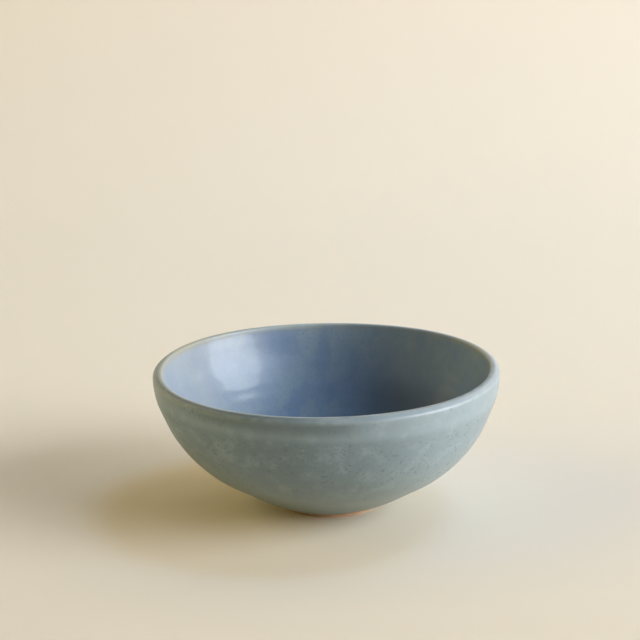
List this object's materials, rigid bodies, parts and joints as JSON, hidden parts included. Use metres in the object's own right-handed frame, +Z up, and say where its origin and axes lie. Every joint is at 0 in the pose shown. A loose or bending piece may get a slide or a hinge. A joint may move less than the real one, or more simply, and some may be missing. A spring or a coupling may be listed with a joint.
{
  "type": "prep bowl",
  "caption": "Small hand-thrown stoneware prep bowl with wide open walls, a bevelled lip, satin blue-grey glaze inside and out, and a bare trimmed foot.",
  "frame": {"origin": "centre of the foot, on the plane that the bowl stands on", "axes": "+Z up along the bowl's axis; the bowl is round, so +X and +Y are any two square directions across it"},
  "size_m": [0.15, 0.15, 0.0612],
  "materials": {
    "bare_stoneware": "matte",
    "inside_glaze": "satin",
    "outside_glaze": "satin"
  },
  "bodies": {
    "root": {"clay_body": "bare_stoneware", "liner_glaze": "inside_glaze", "outer_glaze": "outside_glaze"}
  },
  "joints": []
}
